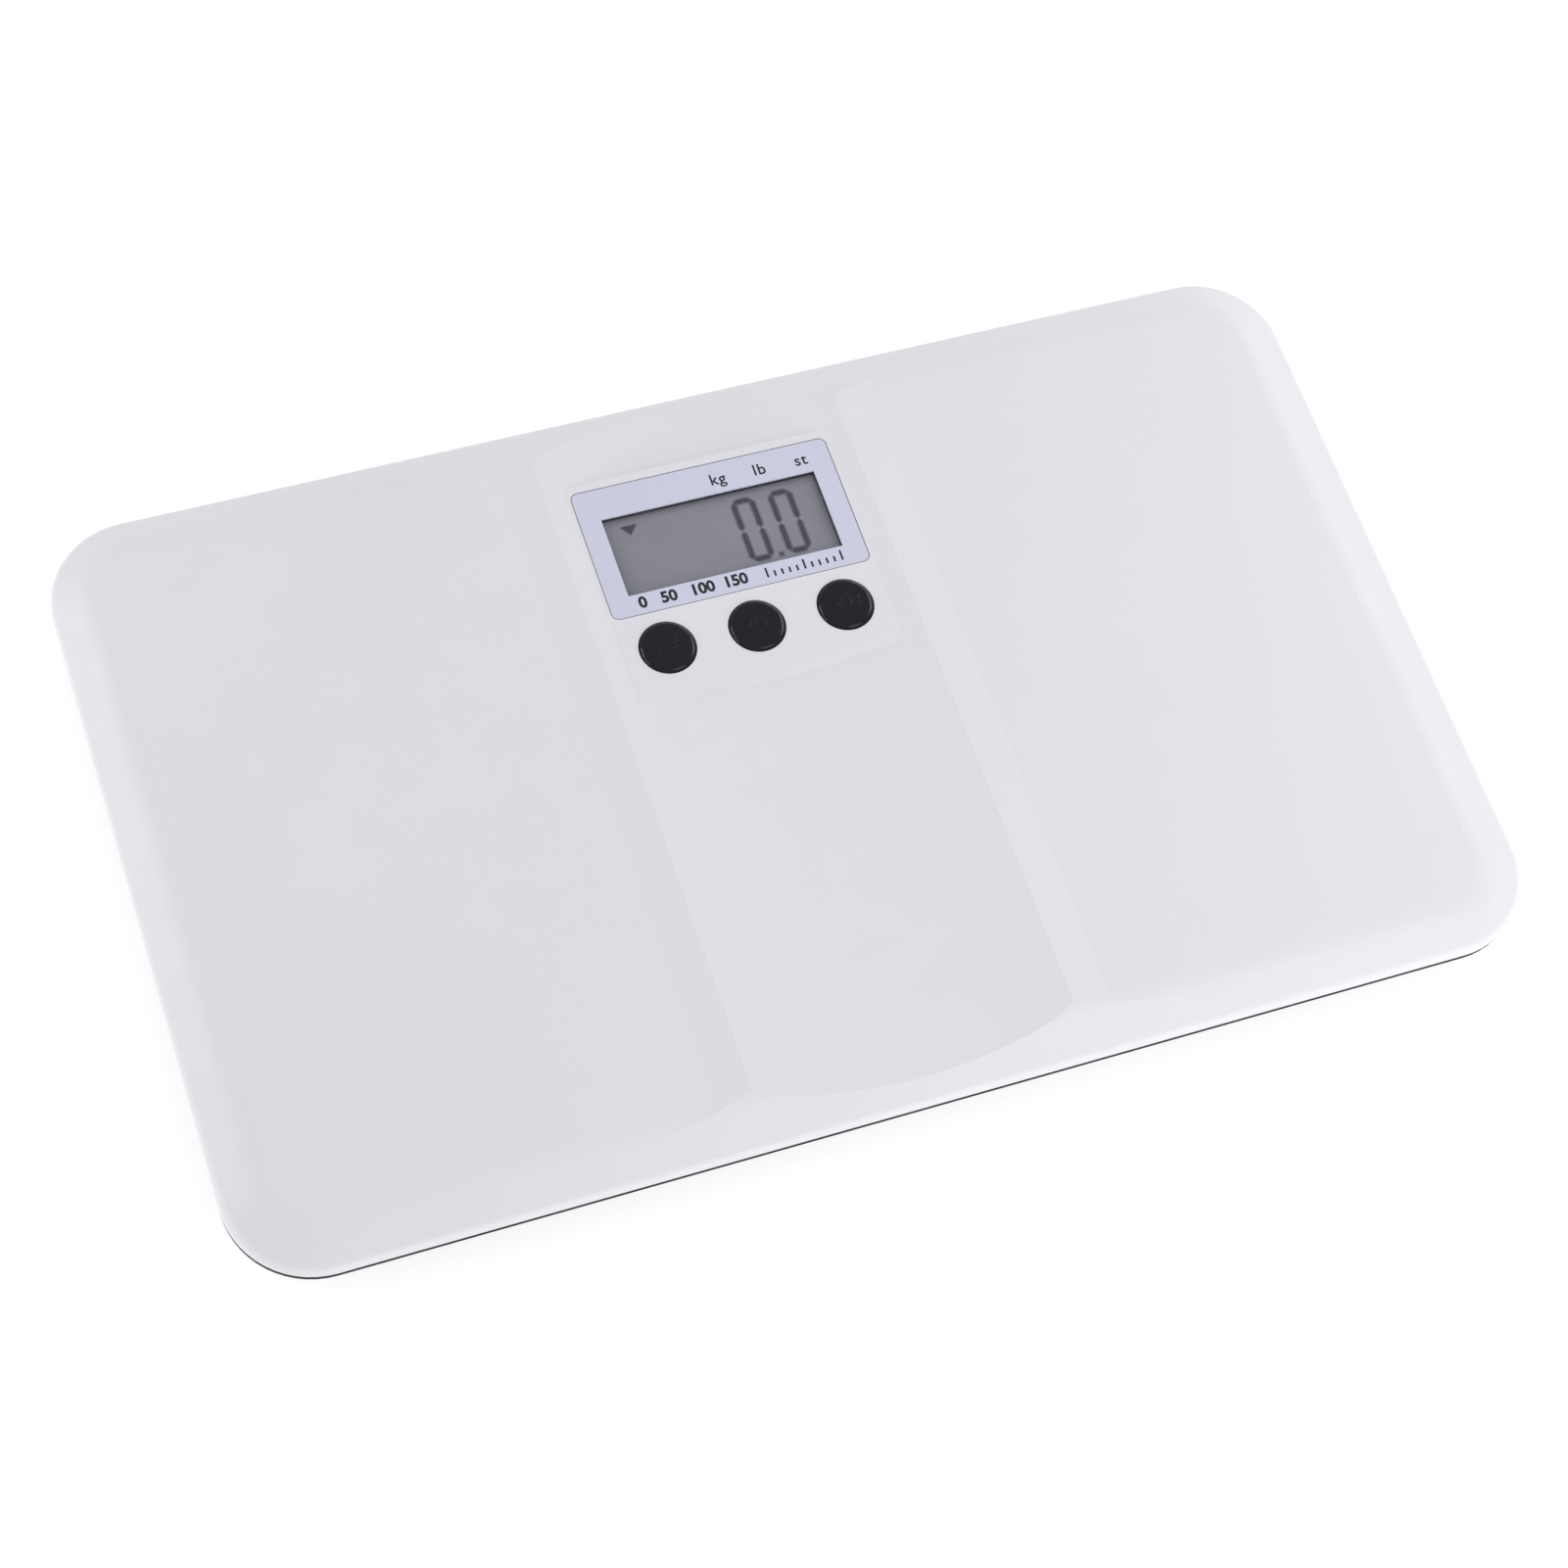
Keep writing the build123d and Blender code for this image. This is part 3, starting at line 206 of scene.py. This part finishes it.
def ink(name, colour, alpha=1.0):
    """Printed or switched-on marks, a little uneven."""
    material, shader = new_material(name, colour, 0.45)
    vary_colour(material, shader, noise(material, 900, 3), colour, 0.10)
    shader.inputs["Alpha"].default_value = alpha
    return material


materials = {name: moulded(name, *look) for name, look in PLASTICS.items()}
materials.update({name: metal(name, *look) for name, look in METALS.items()})
materials["lcd_glass"] = lcd_material()
materials["clear_lens"] = lens_material()
for name, level in SPECULAR_LEVELS.items():
    shader = materials[name].node_tree.nodes["Principled BSDF"]
    shader.inputs["Specular IOR Level"].default_value = level
print_black = ink("print_black", (0.006, 0.006, 0.008))
segment_ink = ink("segment_ink", (0.080, 0.080, 0.165), 0.11)

for row in frame["record"]["subparts"]:
    part = nodes[row["node"]]
    part.data.materials.clear()
    part.data.materials.append(materials[row["material_slot"]])


# ------------------------------------------------------------------ pieces
def add_object(name, mesh):
    piece = bpy.data.objects.new(name, mesh)
    bpy.context.scene.collection.objects.link(piece)
    return piece


def finish_piece(name, form, material, body="scale", smooth=False):
    """Turn a bmesh into a piece that rides a body."""
    bmesh.ops.recalc_face_normals(form, faces=form.faces)
    mesh = bpy.data.meshes.new(name)
    form.to_mesh(mesh)
    form.free()
    for face in mesh.polygons:
        face.use_smooth = smooth
    mesh.materials.append(material)
    piece = add_object(name, mesh)
    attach(piece, body)
    return piece


def bridge(form, a, b):
    """Band of faces between two closed rings with the same number of points."""
    for i in range(len(a)):
        j = (i + 1) % len(a)
        form.faces.new((a[i], a[j], b[j], b[i]))


def slab(form, outline, bottom, top):
    """Closed flat slab on an outline given in metres."""
    low = [form.verts.new((x, y, bottom)) for x, y in outline]
    high = [form.verts.new((x, y, top)) for x, y in outline]
    form.faces.new(low[::-1])
    form.faces.new(high)
    bridge(form, low, high)


def rectangle(left, front, right, back):
    return [(left, front), (right, front), (right, back), (left, back)]


def arc(center, radius, start, end, steps=24):
    """Points on an arc, degrees."""
    turns = [math.radians(start + (end - start) * i / steps) for i in range(steps + 1)]
    return [(center[0] + radius * math.cos(t), center[1] + radius * math.sin(t)) for t in turns]


def line(a, b, steps=8):
    """Points on a straight line."""
    shares = [i / steps for i in range(steps + 1)]
    return [(a[0] + (b[0] - a[0]) * t, a[1] + (b[1] - a[1]) * t) for t in shares]


def middle(node):
    """Middle of a CAD node's box, seen from above."""
    low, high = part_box(node)
    return (low.x + high.x) / 2, (low.y + high.y) / 2


def segment_outline(start, end, width):
    """Bar with pointed ends between two points."""
    along = (end - start).normalized()
    across = Vector((-along.y, along.x)) * width / 2
    tip = along * width / 2
    left = (start + tip + across, end - tip + across)
    right = (end - tip - across, start + tip - across)
    return [(p.x, p.y) for p in (start, *left, end, *right)]


# The display's lit marks. Each layer's marks grow by its amount, which softens their edges.
LAYER_GROWTH = (0.50 * MM, -0.20 * MM)
LAYER_LIFT, LAYER_PITCH, LAYER_THICKNESS = 0.03 * MM, 0.04 * MM, 0.02 * MM
ZERO_CENTERS = (13.3 * MM, 29.3 * MM)
ZERO_WIDTH, ZERO_HEIGHT, ZERO_STROKE = 10.4 * MM, 30.0 * MM, 2.5 * MM
SEGMENT_GAP = 0.25 * MM
POINT_X, POINT_DROP, POINT_HALF = 21.3 * MM, 13.9 * MM, 0.9 * MM
POINTER_X, POINTER_HALF, POINTER_HEIGHT = -35.3 * MM, 3.5 * MM, 4.6 * MM
POINTER_MARGIN = 3.6 * MM


def zero_outlines(center_x, center_y, grow):
    """The six lit bars of a seven-segment nought, each grown by an amount all round."""
    inset = ZERO_STROKE / 2
    left, right = center_x - ZERO_WIDTH / 2 + inset, center_x + ZERO_WIDTH / 2 - inset
    low, high = center_y - ZERO_HEIGHT / 2 + inset, center_y + ZERO_HEIGHT / 2 - inset
    runs = [
        ((left, high), (right, high)),
        ((left, low), (right, low)),
        ((left, low), (left, center_y)),
        ((left, center_y), (left, high)),
        ((right, low), (right, center_y)),
        ((right, center_y), (right, high)),
    ]
    outlines = []
    for a, b in runs:
        start, end = Vector(a), Vector(b)
        shift = (end - start).normalized() * (SEGMENT_GAP - grow)
        outlines.append(segment_outline(start + shift, end - shift, ZERO_STROKE + 2 * grow))
    return outlines


def make_display_marks():
    """Two noughts, a point and a pointer, in layers that give them soft edges."""
    cell_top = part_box("lcd_cell")[1].z
    center_y = middle("lcd_cell")[1]
    point_y = center_y - POINT_DROP
    pointer_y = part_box("display_lens")[1].y - POINTER_MARGIN
    for layer, grow in enumerate(LAYER_GROWTH):
        form = bmesh.new()
        base = cell_top + LAYER_LIFT + LAYER_PITCH * layer
        half = POINT_HALF + grow
        reach = POINTER_HALF + grow
        outlines = [o for x in ZERO_CENTERS for o in zero_outlines(x, center_y, grow)]
        outlines.append(rectangle(POINT_X - half, point_y - half, POINT_X + half, point_y + half))
        outlines.append([
            (POINTER_X, pointer_y - POINTER_HEIGHT - grow),
            (POINTER_X + reach, pointer_y + grow / 2),
            (POINTER_X - reach, pointer_y + grow / 2),
        ])
        for outline in outlines:
            slab(form, outline, base, base + LAYER_THICKNESS)
        finish_piece(f"display_marks_{layer}", form, segment_ink)


# The bezel's print: words and where their middles lie along X, in mm.
UNIT_NAMES = (("kg", 6.0), ("lb", 24.0), ("st", 42.0))
DIAL_FIGURES = (("0", -41.0), ("50", -30.0), ("100", -15.8), ("150", -1.8))
UNIT_HEIGHT, UNIT_DROP, UNIT_WEIGHT = 5.0 * MM, 10.1 * MM, 0.09 * MM
FIGURE_HEIGHT, FIGURE_LIFT, FIGURE_WEIGHT = 4.8 * MM, 2.8 * MM, 0.26 * MM
# Height of a capital as a share of the font's size, and half the print's thickness.
CAPITAL_SHARE = 0.70
PRINT_HALF = 0.012 * MM
PRINT_LIFT = 0.008 * MM
TICK_COUNT, TICK_START, TICK_PITCH = 11, 11.6, 3.2
TICK_LONG, TICK_SHORT, TICK_HALF = 4.5 * MM, 2.6 * MM, 0.42 * MM
TICK_SINK = 0.006 * MM
LONG_TICK_EVERY = 5


def print_text(name, words, place, height, weight, spacing=1.0):
    """Thin raised print; height is that of a capital or figure."""
    curve = bpy.data.curves.new(name, "FONT")
    curve.body = words
    curve.size = height / CAPITAL_SHARE
    curve.align_x = "CENTER"
    curve.offset = weight
    curve.space_character = spacing
    curve.extrude = PRINT_HALF
    curve.resolution_u = 6
    draft = add_object(name + "_draft", curve)
    bpy.context.view_layer.update()
    shaped = draft.evaluated_get(bpy.context.evaluated_depsgraph_get())
    mesh = bpy.data.meshes.new_from_object(shaped)
    bpy.data.objects.remove(draft)
    mesh.materials.clear()
    mesh.materials.append(print_black)
    piece = add_object(name, mesh)
    piece.location = place
    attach(piece, "scale")


def make_bezel_print():
    """Generic unit names, dial figures and a row of dial ticks."""
    low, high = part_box("bezel_panel")
    z = high.z + PRINT_LIFT
    for words, x in UNIT_NAMES:
        place = (x * MM, high.y - UNIT_DROP, z)
        print_text(f"unit_{words}", words, place, UNIT_HEIGHT, UNIT_WEIGHT, spacing=1.1)
    row = low.y + FIGURE_LIFT
    for words, x in DIAL_FIGURES:
        print_text(f"dial_{words}", words, (x * MM, row, z), FIGURE_HEIGHT, FIGURE_WEIGHT)
    form = bmesh.new()
    for step in range(TICK_COUNT):
        x = (TICK_START + TICK_PITCH * step) * MM
        length = TICK_SHORT if step % LONG_TICK_EVERY else TICK_LONG
        outline = rectangle(x - TICK_HALF, row, x + TICK_HALF, row + length)
        slab(form, outline, z - TICK_SINK, z + PRINT_HALF)
    finish_piece("dial_ticks", form, print_black)


PANEL_CORNER = 3.0 * MM
# Painted shade ring in the gap round the bezel: growth past the panel's outline, and depth under
# its top.
GAP_SHADE_PROFILE = (
    (0.02 * MM, 0.65 * MM),
    (0.26 * MM, 0.65 * MM),
    (0.26 * MM, 0.12 * MM),
    (0.02 * MM, 0.03 * MM),
)


def make_bezel_gap_shade():
    """Dark ring in the gap round the bezel panel: painted shade of the groove there."""
    low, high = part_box("bezel_panel")
    corners = (
        (high.x - PANEL_CORNER, high.y - PANEL_CORNER),
        (low.x + PANEL_CORNER, high.y - PANEL_CORNER),
        (low.x + PANEL_CORNER, low.y + PANEL_CORNER),
        (high.x - PANEL_CORNER, low.y + PANEL_CORNER),
    )
    form = bmesh.new()
    rings = []
    for grow, drop in GAP_SHADE_PROFILE:
        ring = []
        for quarter, center in enumerate(corners):
            start = 90 * quarter
            points = arc(center, PANEL_CORNER + grow, start, start + 90, 10)
            ring += [form.verts.new((x, y, high.z - drop)) for x, y in points]
        rings.append(ring)
    for a, b in zip(rings, rings[1:] + rings[:1]):
        bridge(form, a, b)
    # The ring is painted shade, given the frame's black plastic.
    finish_piece("bezel_gap_shade", form, materials["frame_plastic"])


BUTTON_PLACES = ("left", "middle", "right")
CAP_SIDES = 96
# A cap's sizes in mm: its rounded rim, its shallow crown, and the outline of its sharp-edged
# inside (radius and height), from the stem's foot to the flange that keeps it in the cover.
CROWN_RADIUS, CROWN_RISE = 9.3, 0.6
RIM_WIDTH, RIM_HEIGHT, RIM_FOOT = 2.2, 2.0, 4.0
CAP_INSIDE = [
    (2.5, 0.0), (2.5, 4.1), (9.7, 4.1), (9.7, 0.8), (13.0, 0.8), (13.0, 2.0), (11.5, 2.0)
]


def cap_profile():
    """Radius and height of a cap's outline, in mm, from the stem's foot to near the peak."""
    rim = []
    for degrees in range(0, 91, 9):
        turn = math.radians(degrees)
        radius = CROWN_RADIUS + RIM_WIDTH * math.cos(turn)
        rim.append((radius, RIM_FOOT + RIM_HEIGHT * math.sin(turn)))
    crown_foot = RIM_FOOT + RIM_HEIGHT
    crown = []
    for radius in (8.4, 7.2, 5.8, 4.4, 3.0, 1.5):
        crown.append((radius, crown_foot + CROWN_RISE * (1 - (radius / CROWN_RADIUS) ** 2)))
    return CAP_INSIDE + rim + crown


def make_caps():
    """Button caps with the soft, deep rim of the real ones, turned about their middles."""
    caps = {}
    profile = cap_profile()
    turns = [math.tau * i / CAP_SIDES for i in range(CAP_SIDES)]
    for place in BUTTON_PLACES:
        x, y = middle(f"button_{place}")
        foot_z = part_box(f"button_{place}")[0].z
        form = bmesh.new()
        rings = []
        for radius, height in profile:
            r, z = radius * MM, foot_z + height * MM
            ring = [form.verts.new((x + r * math.cos(t), y + r * math.sin(t), z)) for t in turns]
            rings.append(ring)
        for a, b in zip(rings, rings[1:]):
            bridge(form, a, b)
        foot = form.verts.new((x, y, foot_z))
        peak = form.verts.new((x, y, foot_z + (RIM_FOOT + RIM_HEIGHT + CROWN_RISE) * MM))
        for i in range(CAP_SIDES):
            j = (i + 1) % CAP_SIDES
            form.faces.new((rings[0][j], rings[0][i], foot))
            form.faces.new((rings[-1][i], rings[-1][j], peak))
        ring_of = {v: k for k, ring in enumerate(rings) for v in ring}
        for edge in form.edges:
            a, b = (ring_of.get(v, -1) for v in edge.verts)
            edge.smooth = not (a == b and 0 <= a < len(CAP_INSIDE))
        material = materials["button_gloss"]
        cap = finish_piece(f"cap_{place}", form, material, f"key_{place}", True)
        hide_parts(f"button_{place}")
        caps[place] = cap
    return caps


def surface_of(part):
    """Search tree over a piece's faces, in the row frame."""
    places = [part.matrix_world @ v.co for v in part.data.vertices]
    return BVHTree.FromPolygons(places, [tuple(p.vertices) for p in part.data.polygons])


# A raised mark's width, how deep its foot goes into the surface, and the height above or
# below the floor from which the surface is searched for.
STROKE_WIDTH, STROKE_SINK = 0.8 * MM, 0.12 * MM
SEARCH_START = 0.2


def relief(name, part, slot, strokes, height, body, side=1):
    """Raised marks that follow a piece's top (side 1) or underside (side -1).

    Each stroke is a list of points in metres and whether it closes on itself.
    """
    tree = surface_of(part)
    form = bmesh.new()
    # Share of the stroke's width across it, and height above the surface.
    section = (
        (-0.5, -STROKE_SINK),
        (-0.44, 0.6 * height),
        (-0.28, height),
        (0.28, height),
        (0.44, 0.6 * height),
        (0.5, -STROKE_SINK),
    )
    for points, closed in strokes:
        rings = []
        count = len(points)
        for i, (x, y) in enumerate(points):
            before = Vector(points[(i - 1) % count] if closed or i else points[i])
            after = Vector(points[(i + 1) % count] if closed or i < count - 1 else points[i])
            along = (after - before).normalized()
            across = Vector((-along.y, along.x)) * STROKE_WIDTH
            ring = []
            for share, lift in section:
                px, py = x + across.x * share, y + across.y * share
                start = Vector((px, py, side * SEARCH_START))
                hit = tree.ray_cast(start, Vector((0, 0, -side)))[0]
                ring.append(form.verts.new((px, py, hit.z + side * lift)))
            rings.append(ring)
        for i in range(count if closed else count - 1):
            bridge(form, rings[i], rings[(i + 1) % count])
        if not closed:
            form.faces.new(rings[0])
            form.faces.new(rings[-1][::-1])
    return finish_piece(name, form, materials[slot], body, smooth=True)


def unit_sign(x, y):
    """Two opposed arrows: change of unit."""
    strokes = []
    for way in (-1, 1):
        row = y + way * 1.3 * MM
        tip = (x + way * 4.2 * MM, row)
        barb = (tip[0] - way * 1.9 * MM, row + way * 1.7 * MM)
        strokes.append((line((x - way * 4.2 * MM, row), tip), False))
        strokes.append((line(barb, tip, 4), False))
    return strokes


def power_sign(x, y):
    """Broken ring with a bar: on and off."""
    return [
        (arc((x, y - 0.3 * MM), 3.2 * MM, 125, 415), False),
        (line((x, y), (x, y + 3.9 * MM), 6), False),
    ]


def zero_sign(x, y):
    """Nought between two pointers: set to nought."""
    turns = [t * math.tau / 28 for t in range(28)]
    oval = [(x + 2.0 * MM * math.cos(t), y + 3.1 * MM * math.sin(t)) for t in turns]
    strokes = [(oval, True)]
    for way in (-1, 1):
        start, tip = x + way * 6.2 * MM, (x + way * 3.4 * MM, y)
        strokes.append((line((start, y + 1.5 * MM), tip, 4), False))
        strokes.append((line((start, y - 1.5 * MM), tip, 4), False))
    return strokes


def make_button_marks(caps):
    """Faint raised symbols on the caps."""
    for place, sign in zip(BUTTON_PLACES, (unit_sign, power_sign, zero_sign)):
        strokes = sign(*middle(f"button_{place}"))
        name, body = f"button_mark_{place}", f"key_{place}"
        relief(name, caps[place], "button_gloss", strokes, 0.14 * MM, body)


def make_door_marks():
    """Moulded arrow for the door's opening way, and signs for the cells' ends."""
    y = middle("battery_door")[1] + 2.0 * MM
    tip = (0, y - 3 * MM)
    strokes = [
        (line((0, y + 4 * MM), tip), False),
        (line((-2.4 * MM, y - 0.6 * MM), tip, 5), False),
        (line((2.4 * MM, y - 0.6 * MM), tip, 5), False),
    ]
    arm = 1.6 * MM
    for way in (-1, 1):
        sign_y = y - 1 * MM + way * 5.6 * MM
        for side in (-1, 1):
            sign_x = side * 19 * MM
            strokes.append((line((sign_x - arm, sign_y), (sign_x + arm, sign_y), 4), False))
            if side * way == -1:
                strokes.append((line((sign_x, sign_y - arm), (sign_x, sign_y + arm), 4), False))
    door = nodes["battery_door"]
    relief("door_marks", door, "black_plastic", strokes, 0.25 * MM, "door", side=-1)


make_display_marks()
make_bezel_print()
make_bezel_gap_shade()
make_button_marks(make_caps())
make_door_marks()


# ------------------------------------------------------------------ stage and light
FLOOR_HALF = 6.0
FLOOR_GAP = 0.0002


def make_floor():
    """Plain pale floor, a hair under the feet."""
    mesh = bpy.data.meshes.new("floor")
    corners = rectangle(-FLOOR_HALF, -FLOOR_HALF, FLOOR_HALF, FLOOR_HALF)
    mesh.from_pydata([(x, y, 0) for x, y in corners], [], [(0, 1, 2, 3)])
    floor = add_object("floor", mesh)
    floor.location.z = -FLOOR_GAP
    material, shader = new_material("floor_white", (0.45, 0.45, 0.45), 0.9)
    shader.inputs["Emission Color"].default_value = (1, 1, 1, 1)
    shader.inputs["Emission Strength"].default_value = 0.74
    mesh.materials.append(material)


def softbox(name, place, size, power, glare=True):
    """Square lamp aimed at the origin; without glare, nothing reflects it."""
    light = bpy.data.lights.new(name, "AREA")
    light.shape = "RECTANGLE"
    light.size, light.size_y = size, size
    light.energy = power
    lamp = bpy.data.objects.new(name, light)
    lamp.visible_glossy = glare
    bpy.context.scene.collection.objects.link(lamp)
    lamp.location = place
    lamp.rotation_euler = (-Vector(place)).to_track_quat("-Z", "Y").to_euler()


def make_world(strength):
    """Even, faintly blue light from all round."""
    world = bpy.data.worlds.new("studio")
    world.use_nodes = True
    background = world.node_tree.nodes["Background"]
    background.inputs["Color"].default_value = (0.98, 0.985, 1.0, 1)
    background.inputs["Strength"].default_value = strength
    bpy.context.scene.world = world


make_floor()
make_world(0.66)
# From behind, front_right_low would glare off the white top.
softbox("front_right_low", (0.66, -0.98, 0.30), 0.40, 3.9, glare=False)
softbox("front_right_high", (0.39, -0.67, 0.92), 0.60, 1.8)
softbox("back_right_high", (0.92, 0.34, 0.69), 0.60, 2.8)
softbox("back_right_low", (0.80, 0.80, 0.31), 0.50, 0.9)
softbox("left_low", (-1.16, 0.0, 0.31), 0.50, 1.5)
softbox("back_left", (-0.90, 0.52, 0.60), 0.50, 2.3)


# ------------------------------------------------------------------ camera
# The photo's camera, solved from the platform's outline: its directions, its place over the
# cover's lower edge in metres, and its focal length in the unit of the frame's width.
CAMERA_RIGHT = Vector((0.93949, -0.32069, 0.12050))
CAMERA_UP = Vector((0.23936, 0.86611, 0.43882))
CAMERA_PLACE = Vector((-0.3407, -0.5368, 1.2078))
FOCAL_LENGTH, FRAME_WIDTH = 3500.0, 1601.0
SENSOR_WIDTH = 36.0


def make_camera():
    """Long lens, looking down from the front left, slightly rolled."""
    back = CAMERA_RIGHT.cross(CAMERA_UP).normalized()
    up = back.cross(CAMERA_RIGHT).normalized()
    camera_data = bpy.data.cameras.new("camera")
    camera_data.sensor_width = SENSOR_WIDTH
    camera_data.lens = SENSOR_WIDTH * FOCAL_LENGTH / FRAME_WIDTH
    camera_data.clip_start = 0.05
    camera_data.clip_end = 50.0
    camera = bpy.data.objects.new("camera", camera_data)
    bpy.context.scene.collection.objects.link(camera)
    turn = Matrix((CAMERA_RIGHT, up, back)).transposed().to_4x4()
    place = CAMERA_PLACE + Vector((0, 0, LIP_Z))
    camera.matrix_world = Matrix.Translation(place) @ turn
    bpy.context.scene.camera = camera


make_camera()
bpy.context.scene.view_settings.view_transform = "Standard"
